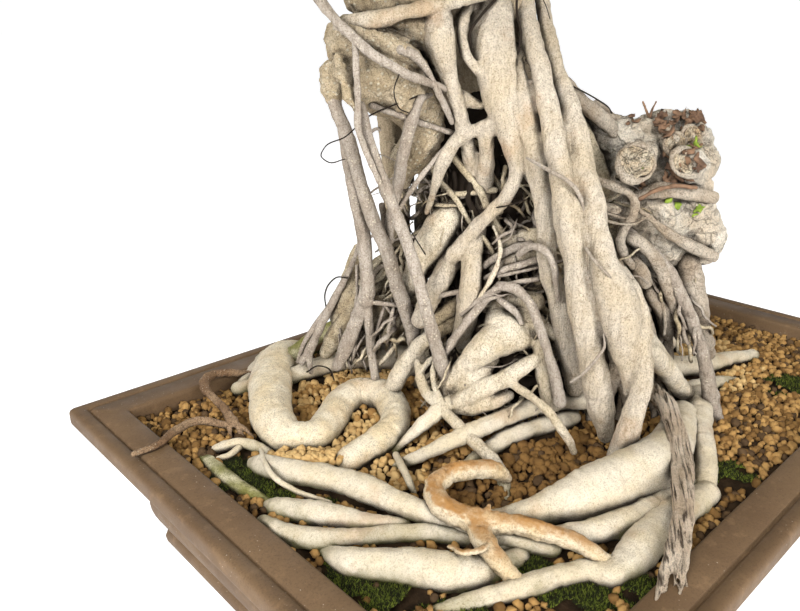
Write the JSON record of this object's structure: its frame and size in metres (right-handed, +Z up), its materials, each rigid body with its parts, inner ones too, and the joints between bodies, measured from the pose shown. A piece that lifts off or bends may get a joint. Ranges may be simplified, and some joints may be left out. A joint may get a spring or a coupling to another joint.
{
  "type": "ficus bonsai in a tray",
  "caption": "Banyan-style ficus bonsai with aerial and surface roots, a cut-back side trunk and a leafy crown, in an oblong unglazed clay tray filled with granular soil.",
  "frame": {"origin": "middle of the whole plant's plan box, at the floor under the tray's feet", "axes": "+Z up, +X along the tray's long side, -Y the tray's front"},
  "size_m": [0.6644, 0.6014, 0.8553],
  "materials": {
    "clay": "matt unglazed",
    "soil": "granular",
    "bark": "smooth pale bark",
    "stump_bark": "rough old bark",
    "grey_bark": "grey root bark",
    "brown_root": "thin brown root",
    "orange_root": "tinted root bark",
    "mossy_root": "greenish root bark",
    "leaf": "waxy"
  },
  "bodies": {
    "root": {"bough_1": "bark", "bough_2": "bark", "bough_3": "bark", "bough_4": "bark", "bough_5": "bark", "bough_6": "bark", "bough_7": "bark", "bough_8": "bark", "bough_9": "bark", "foliage_low_1": "leaf", "foliage_low_2": "leaf", "foliage_low_3": "leaf", "foliage_low_4": "leaf", "foliage_low_5": "leaf", "foliage_top": "leaf", "foliage_upper_1": "leaf", "foliage_upper_2": "leaf", "foliage_upper_3": "leaf", "prop_far_left": "grey_bark", "prop_front": "grey_bark", "prop_inner": "grey_bark", "prop_outer": "grey_bark", "prop_stump": "grey_bark", "root_back_left": "mossy_root", "root_bottom": "bark", "root_corner_hook": "brown_root", "root_corner_tip": "brown_root", "root_cross_low": "bark", "root_cross_under": "bark", "root_diagonal": "bark", "root_edge": "bark", "root_far_1": "bark", "root_far_2": "bark", "root_far_3": "bark", "root_far_4": "bark", "root_far_5": "bark", "root_far_6": "bark", "root_far_7": "bark", "root_front_long": "bark", "root_front_second": "bark", "root_front_thick": "bark", "root_front_third": "bark", "root_loop": "bark", "root_orange": "orange_root", "root_right_thick": "bark", "root_right_under": "bark", "root_strap": "grey_bark", "side_stump": "stump_bark", "soil": "soil", "tray": "clay", "trunk": "bark"}
  },
  "joints": []
}
